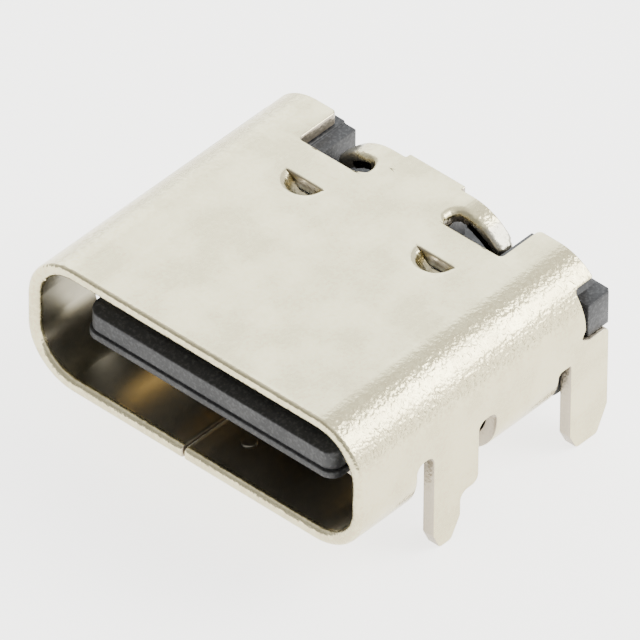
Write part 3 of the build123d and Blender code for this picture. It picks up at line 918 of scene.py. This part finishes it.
    def _fold(self, bm: Mesh) -> None:
        """Cuts the sheet along its fold lines and folds it, from the outermost line inwards."""
        creases = self._creases()
        for crease in creases:
            for side in Side:
                geom = [
                    item for item in (*bm.verts, *bm.edges, *bm.faces)
                    if crease.zone is not Zone.WING or self._behind_notch(item)
                ]
                spot = (side.value * crease.place, 0, 0)
                bmesh.ops.bisect_plane(bm, geom=geom, dist=ON_PLANE, plane_co=spot, plane_no=(1, 0, 0))
        self._join_strips(bm)
        flat = {vert: vert.co.copy() for vert in bm.verts}
        for crease in creases:
            for side in Side:
                turning = [
                    v for v, spot in flat.items() if spot.x * side.value > 0 and self._in_zone(spot, crease)
                ]
                bmesh.ops.rotate(
                    bm, verts=turning, cent=(side.value * crease.place, 0, self.height),
                    matrix=Matrix.Rotation(side.value * crease.angle, 3, "Y"),
                )

    def _join_strips(self, bm: Mesh) -> None:
        """Makes one face of each strip between two fold lines, so that no sliver shows on a bend."""
        places = sorted({crease.place for crease in self._creases() if crease.zone is not Zone.WING})
        places.append(self.on_floor(-self.width))
        for near, far in zip(places, places[1:]):
            for side in Side:
                strip = [f for f in bm.faces if near < f.calc_center_median().x * side.value < far]
                bmesh.ops.dissolve_faces(bm, faces=strip, use_verts=False)

    def _behind_notch(self, item: object) -> bool:
        """Says whether a vertex, edge or face lies wholly on the strip behind the notches."""
        verts = [item] if isinstance(item, bmesh.types.BMVert) else item.verts
        behind, side = self.notch + self.wing_zone_depth, self.notch_half - self.wing_zone_side
        return all(v.co.y > behind and abs(v.co.x) < side for v in verts)

    def _press_dome(self, bm: Mesh, side: Side) -> None:
        """Adds the half bowl of one dome and joins it to the rim of its hole."""
        centre = Vector((side.value * self.dome_x, self.dome_depth, self.height))
        before = set(bm.faces)
        profile = []
        for i in range(self.dome_rings + 1):
            share = i / self.dome_rings
            drop = self.dome_press * (1 - math.cos(math.pi * min(share / self.dome_slope, 1.0))) / 2
            profile.append(bm.verts.new(centre + Vector((self.dome_half * (1 - share), 0, -drop))))
        edges = [bm.edges.new(pair) for pair in zip(profile, profile[1:])]
        bmesh.ops.spin(
            bm, geom=profile + edges, cent=centre, axis=(0, 0, -1), angle=math.pi, steps=self.dome_steps,
            use_merge=False,
        )
        faces = [f for f in bm.faces if f not in before]
        bmesh.ops.recalc_face_normals(bm, faces=faces)
        for face in faces:
            face.normal_update()
        if sum(face.normal.z for face in faces) < 0:
            bmesh.ops.reverse_faces(bm, faces=faces)

    def _frame_domes(self, bm: Mesh) -> None:
        """Cuts the roof round each dome, so that the pressing doesn't shade the flat sheet beyond."""
        cuts = [
            ((0, depth, 0), (0, 1, 0))
            for depth in (self.dome_depth + self.dome_room, self.dome_depth - self.dome_half - self.dome_room)
        ]
        for side in Side:
            for half in (self.dome_half + self.dome_room, self.dome_half - self.dome_end):
                for reach in (self.dome_x + half, self.dome_x - half):
                    cuts.append(((side.value * reach, 0, 0), (1, 0, 0)))
        for spot, direction in cuts:
            roof = [f for f in bm.faces if f.calc_center_median().z > self.height - TOUCHING]
            cut_faces(bm, roof, spot, direction)

    def _flat_sheet(self) -> Mesh:
        """Stamps the flat sheet and returns it."""
        bm = bmesh.new()
        self._outline(bm)
        for side in Side:
            self._dome_hole(bm, side)
        edges = list(bm.edges)
        bmesh.ops.triangle_fill(bm, edges=edges, use_beauty=True, use_dissolve=False, normal=(0, 0, 1))
        return bm

    def _mark_cut_faces(self, bm: Mesh) -> None:
        """Marks the faces that the punch sheared, for the plate's finish."""
        layer = bm.faces.layers.float.new(CUT_FACES)
        sharp = math.radians(self.sheared_from)
        for face in bm.faces:
            edges = [edge.calc_length() for edge in face.edges]
            narrow = len(edges) == 4 and any(abs(length - self.sheet) < self.sheet_slack for length in edges)
            ends = [vert.co for vert in face.verts]
            at_mouth = all(abs(end.y) < SAME for end in ends)
            sheared = sum(edge.calc_face_angle(0.0) > sharp for edge in face.edges) >= 2
            face[layer] = 1.0 if narrow and sheared and not at_mouth else 0.0

    def _press_crescent(self, bm: Mesh) -> Mesh:
        """Presses the small half moon into the inside of the floor.

        Args:
            bm: the shell's mesh, which is freed.

        Returns:
            The mesh with the mark.
        """
        tool = bmesh.new()
        place = Vector((self.crescent_x, self.crescent_depth, self.sheet))
        disc = bmesh.ops.create_circle(
            tool, cap_ends=True, segments=self.crescent_steps, radius=self.crescent_radius,
            matrix=Matrix.Translation(place - Vector((0, 0, self.crescent_press))),
        )["verts"]
        shift = Vector((-self.crescent_width, self.crescent_width, 0))
        along = shift.normalized()
        for vert in disc:
            spot = vert.co - place
            ahead = max(spot.x * along.x + spot.y * along.y, 0.0)
            vert.co -= along * (2 * ahead - shift.length * ahead / self.crescent_radius)
        raised = bmesh.ops.extrude_face_region(tool, geom=list(tool.faces))["geom"]
        lifted = [item for item in raised if isinstance(item, bmesh.types.BMVert)]
        bmesh.ops.translate(tool, vec=(0, 0, self.sheet), verts=lifted)
        bmesh.ops.recalc_face_normals(tool, faces=list(tool.faces))
        return carve(bm, tool)

    def build(self, material: Material) -> Object:
        """Makes the shell.

        Args:
            material: the plate's finish.

        Returns:
            The finished object.
        """
        bm = self._flat_sheet()
        self._fold(bm)
        for side in Side:
            self._press_dome(bm, side)
        bm = in_fixed_order(bm)
        bmesh.ops.remove_doubles(bm, verts=bm.verts, dist=2 * TOUCHING)
        bmesh.ops.recalc_face_normals(bm, faces=bm.faces)
        top = max(bm.faces, key=lambda f: f.calc_center_median().z * 100 + f.calc_area())
        if top.normal.z < 0:
            bmesh.ops.reverse_faces(bm, faces=bm.faces)
        bmesh.ops.dissolve_limit(
            bm, angle_limit=FLAT, verts=bm.verts, edges=bm.edges, use_dissolve_boundaries=False
        )
        self._frame_domes(bm)
        self._grid_wings(bm)
        bmesh.ops.solidify(bm, geom=bm.faces[:], thickness=self.sheet)
        self._mark_cut_faces(bm)
        bm = self._press_crescent(bm)
        bmesh.ops.translate(bm, vec=(0, -self.middle, 0), verts=bm.verts)
        widest = Rounding.MOUTH_LEAD_IN.value
        weigh_edges(bm, lambda edge: self._rounding(edge).value / widest, self.sharp_from)
        self._roll_wings(bm)
        piece = finished_object("folded_shell", bm, material)
        soften(piece, widest, self.bevel_steps)
        return piece

    def _rounding(self, edge: Edge) -> Rounding:
        """Says which rounding an edge of the shell has."""
        ends = [vert.co for vert in edge.verts]
        middle = (ends[0] + ends[1]) / 2

        def all_at(value_of: Callable[[Vector], float], value: float) -> bool:
            return all(abs(value_of(end) - value) < SAME for end in ends)

        if all_at(lambda end: end.y, -self.middle):
            inside = all(self._depth_in_sheet(end) > self.sheet / 2 for end in ends)
            return Rounding.MOUTH_LEAD_IN if inside else Rounding.MOUTH_OUTSIDE
        if all_at(lambda end: end.z, self.sheet) and abs(middle.x - self.seam_x) < self.seam_gap:
            return Rounding.SEAM
        across = abs(middle.x) - self.dome_x
        along = middle.y + self.middle - self.dome_depth
        if middle.z > self.height / 2 and math.hypot(across, along) < self.dome_half + self.sheet / 2:
            clear = abs(across) < self.dome_half - self.dome_end and abs(along) < SAME
            return Rounding.DOME_REAR if clear and all_at(lambda end: end.z, self.height) else Rounding.NONE
        return Rounding.SHEARED

    def _grid_wings(self, bm: Mesh) -> None:
        """Cuts each wing and its neck into a fine grid that the rolled rim needs."""
        near, front = self.neck_half - self.rim_before_neck, self.notch - self.rim_before_notch
        across = int((self._wing_spot(math.inf)[2] - near) / self.rim_grid)
        along = int((self.wing_rear - front) / self.rim_grid)
        for side in Side:
            self._cut_wing(bm, side, (side.value * near, 0, 0), (1, 0, 0), True)
            self._cut_wing(bm, side, (0, front, 0), (0, 1, 0), True)
            for i in range(1, across):
                self._cut_wing(bm, side, (side.value * (near + i * self.rim_grid), 0, 0), (1, 0, 0), False)
            for i in range(1, along):
                self._cut_wing(bm, side, (0, front + i * self.rim_grid, 0), (0, 1, 0), False)

    def _cut_wing(self, bm: Mesh, side: Side, spot: Triple, direction: Triple, whole: bool) -> None:
        """Cuts a wing's faces along one plane of its grid.

        Args:
            bm: the shell's mesh.
            side: the wing's side.
            spot: a point of the plane.
            direction: the plane's normal.
            whole: whether the flat roof is cut as well, right across.
        """
        near, front = self.neck_half - self.rim_before_neck, self.notch - self.rim_before_notch
        faces = []
        for face in bm.faces:
            middle = face.calc_center_median()
            reach = middle.x * side.value
            inside = near < reach < self.notch_half - self.rim_past_tip and middle.y > front
            roof = whole and middle.z > self.height - TOUCHING
            if middle.z > self.height - self.bend / 2 and (inside or roof):
                faces.append(face)
        cut_faces(bm, faces, spot, direction)

    def _wing_spot(self, reach: float) -> tuple[float, float, float, float]:
        """Follows the outside of a wing.

        Args:
            reach: the distance from the middle, which is limited to the wing's tip.

        Returns:
            The flat distance from the middle, the angle in radians, the limited reach and the height.
        """
        turn = math.radians(self.wing_angle)
        bend_end = self.neck_half + self.wing_radius * math.sin(turn)
        reach = min(reach, bend_end + self.wing_flat * math.cos(turn))
        angle = math.asin(min(max(reach - self.neck_half, 0.0) / self.wing_radius, math.sin(turn)))
        beyond = max(reach - bend_end, 0.0)
        across = min(reach, self.neck_half) + self.wing_radius * angle + beyond / math.cos(turn)
        drop = self.wing_radius * (1 - math.cos(angle)) + beyond * math.tan(turn)
        return across, angle, reach, self.height - drop

    def _rim_distance(self, across: float, depth: float) -> float:
        """Gives how far a point of the wing or its neck is from the rim, from the notch round the tip."""
        end, half = self.notch_end, (self.wing - self.notch) / 2
        to_neck = math.hypot(
            max(self.neck_half + end - across, 0.0), max(abs(depth - self.notch - half) - half + end, 0.0)
        ) - end
        corner = self.wing_corner
        tip = self._wing_spot(math.inf)[0] - corner
        at_tip = min(max((across - tip + corner) / corner, 0.0), 1.0)
        along = max(self.wing + corner - depth, depth - self.wing_rear + corner, 0.0) * at_tip
        to_tip = corner - math.hypot(max(across - tip, 0.0), along)
        return max(min(to_neck, to_tip), 0.0)

    def _roll_wings(self, bm: Mesh) -> None:
        """Rolls the outer rim of each wing over, as the punch leaves it."""
        layer = bm.edges.layers.float[WEIGHTS]
        for vert in bm.verts:
            reach, depth = abs(vert.co.x), vert.co.y + self.middle
            across, angle, _, height = self._wing_spot(reach)
            in_grid = self.neck_half - self.rim_before_neck <= reach <= self.notch_half - self.rim_past_tip
            if depth < self.notch or not in_grid or abs(height - vert.co.z) > self.rim_slack:
                continue
            share = min((depth - self.notch) / self.notch_end, 1.0)
            radius = self.rim_radius * share * share * (3 - 2 * share)
            left = radius - self._rim_distance(across, depth)
            if radius > 0 and left > 0:
                drop = radius - math.sqrt(radius * radius - left * left)
                vert.co -= Vector((math.copysign(math.sin(angle), vert.co.x), 0, math.cos(angle))) * drop
                if drop > self.sheet / 10:
                    for edge in vert.link_edges:
                        edge[layer] = 0.0

    def _depth_in_sheet(self, point: Vector) -> float:
        """Gives how far a point at the mouth is from the outside of the sheet."""
        half = self.height / 2
        across = max(abs(point.x) - self.flat_half, 0.0)
        up = max(abs(point.z - half) - (half - self.bend), 0.0)
        return self.bend - math.hypot(across, up)


@dataclass
class Moulding:
    """A moulded piece that keeps the frame's shape and gets soft edges."""

    node: str
    name: str
    rounding: float = 0.025
    sharp_from: float = 25.0
    bevel_steps: int = 2

    def build(self, material: Material) -> Object:
        """Makes the piece from a merged copy of the frame's node.

        Args:
            material: the moulding's finish.

        Returns:
            The finished object.
        """
        bm = bmesh.new()
        bm.from_mesh(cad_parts[self.node].data)
        bmesh.ops.scale(bm, vec=(1 / MM, 1 / MM, 1 / MM), verts=bm.verts)
        bmesh.ops.remove_doubles(bm, verts=bm.verts, dist=TOUCHING)
        bmesh.ops.dissolve_limit(
            bm, angle_limit=FLAT, verts=bm.verts, edges=bm.edges, use_dissolve_boundaries=False
        )
        weigh_edges(bm, lambda edge: 1.0, self.sharp_from)
        piece = finished_object(self.name, bm, material)
        soften(piece, self.rounding, self.bevel_steps)
        return piece


@dataclass(frozen=True)
class Panel:
    """A square soft light that faces the object, in millimetres and watts."""

    name: str
    place: Triple
    size: float
    power: float
    colour: Triple

    def make(self) -> None:
        """Adds the light to the scene."""
        data = bpy.data.lights.new(self.name, "AREA")
        data.shape = "SQUARE"
        data.size = self.size * MM
        data.energy = self.power
        data.color = self.colour
        lamp = bpy.data.objects.new(self.name, data)
        spot = Vector(self.place) * MM
        lamp.location = spot
        lamp.rotation_euler = (-spot).to_track_quat("-Z", "Y").to_euler()
        bpy.context.scene.collection.objects.link(lamp)


@dataclass
class Studio:
    """The pale floor, the soft light and the camera."""

    floor_height: float = -1.03
    floor_half: float = 400.0
    floor_colours: tuple[Triple, Triple] = ((0.60, 0.60, 0.60), (0.62, 0.62, 0.62))
    floor_clouds: float = 0.02
    floor_roughness: float = 0.9
    glow: Triple = (1.0, 0.985, 0.95)
    glow_strength: float = 2.9
    sky_front: Triple = (0.35, 0.35, 0.35)
    sky_rear: Triple = (1.0, 1.0, 1.0)
    sky_fade: Span = (-0.7, 0.4)
    sky_strength: float = 2.0
    aim: Triple = (0.0, 3.5, 1.2)
    mouth: float = 3.675
    azimuth: float = 41.919
    elevation: float = 40.694
    roll: float = 0.445
    distance: float = 349.14
    focal_px: float = 17590.6
    image_px: float = 640.0
    sensor: float = 36.0
    slip: Span = (-0.1635, -0.291)
    clip: Span = (0.01, 10.0)
    panels: tuple[Panel, ...] = (
        Panel("rear_left", (-105, 85, 70), 110, 0.13, (0.90, 0.96, 1.0)),
        Panel("rear_right", (75, 80, 92), 80, 0.28, (1.0, 1.0, 0.98)),
        Panel("low_right", (109, 79, 34), 50, 0.02, (1.0, 0.97, 0.92)),
    )

    def floor(self) -> Object:
        """Makes the floor and returns it."""
        bm = bmesh.new()
        bmesh.ops.create_grid(
            bm, x_segments=1, y_segments=1, size=self.floor_half,
            matrix=Matrix.Translation((0, 0, self.floor_height)),
        )
        material, shader = new_material("pale_floor")
        tree = material.node_tree
        clouds = noise_node(tree, millimetres(tree), self.floor_clouds, 2.0)
        feed(tree, mix_colours(tree, clouds, *self.floor_colours), shader.inputs["Base Color"])
        shader.inputs["Roughness"].default_value = self.floor_roughness
        shader.inputs["Emission Color"].default_value = (*self.glow, 1.0)
        shader.inputs["Emission Strength"].default_value = self.glow_strength
        floor = finished_object("floor", bm, material)
        return floor

    def light(self) -> None:
        """Lights the scene with a pale sky, dimmer in front, and soft panels."""
        world = bpy.data.worlds.new("studio")
        world.use_nodes = True
        tree = world.node_tree
        sky = tree.nodes["Background"]
        split = tree.nodes.new("ShaderNodeSeparateXYZ")
        feed(tree, tree.nodes.new("ShaderNodeTexCoord").outputs["Generated"], split.inputs["Vector"])
        share = ramp_node(tree, split.outputs["Y"], self.sky_fade)
        feed(tree, mix_colours(tree, share, self.sky_front, self.sky_rear), sky.inputs["Color"])
        sky.inputs["Strength"].default_value = self.sky_strength
        bpy.context.scene.world = world
        for panel in self.panels:
            panel.make()

    def camera(self) -> None:
        """Places the camera at the photograph's angle."""
        turn, rise, lean = (math.radians(v) for v in (self.azimuth, self.elevation, self.roll))
        back = Vector((math.sin(turn) * math.cos(rise), -math.cos(turn) * math.cos(rise), math.sin(rise)))
        right = Vector((math.cos(turn), math.sin(turn), 0.0))
        up = back.cross(right)
        leant_right = right * math.cos(lean) + up * math.sin(lean)
        leant_up = -right * math.sin(lean) + up * math.cos(lean)
        aim = Vector(self.aim) - Vector((0, self.mouth, 0))
        place = aim + back * self.distance - leant_right * self.slip[0] - leant_up * self.slip[1]
        data = bpy.data.cameras.new("camera")
        data.sensor_width = self.sensor
        data.sensor_height = self.sensor
        data.lens = self.focal_px * self.sensor / self.image_px
        data.clip_start, data.clip_end = self.clip
        camera = bpy.data.objects.new("camera", data)
        axes = Matrix((leant_right, leant_up, back)).transposed().to_4x4()
        camera.matrix_world = Matrix.Translation(place * MM) @ axes
        bpy.context.scene.collection.objects.link(camera)
        bpy.context.scene.camera = camera


def dress(piece: Object, slot: str, *nodes: str) -> None:
    """Ties a new piece to the frame and reports it.

    Args:
        piece: the finished object.
        slot: the record's material slot for the piece; not used.
        nodes: the frame's nodes that the piece stands for.
    """
    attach(piece, ROOT)
    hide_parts(*nodes)
    LOG.info("%s: %d vertices for %s", piece.name, len(piece.data.vertices), ", ".join(nodes))


def coat(node: str, material: Material) -> None:
    """Gives a node of the frame a better finish.

    Args:
        node: the node's name.
        material: its new material.
    """
    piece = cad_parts[node]
    for slot in piece.material_slots:
        slot.material = material
    LOG.info("%s: coated with %s", node, material.name)


def main() -> None:
    """Builds the studio and every piece."""
    logging.basicConfig(level=logging.INFO)
    studio = Studio()
    studio.camera()
    studio.light()
    studio.floor()

    plastic = MouldedPlastic("housing_plastic").make()
    shell = FoldedShell()
    dress(shell.build(NickelPlate(shell).make()), "shell_metal", "shell")
    dress(Moulding("housing", "moulded_housing").build(plastic), "housing_plastic", "housing")
    for node in ("upper_block", "lower_block"):
        coat(node, plastic)
    coat("latch_plate", StampedMetal("plate_steel", (0.56, 0.56, 0.55), (0.47, 0.46, 0.45), 0.35).make())
    gold = StampedMetal("contact_gold", (0.72, 0.50, 0.20), (0.62, 0.42, 0.16), 0.25).make()
    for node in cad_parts:
        if node.startswith("contact_"):
            coat(node, gold)


if __name__ == "__main__":
    main()
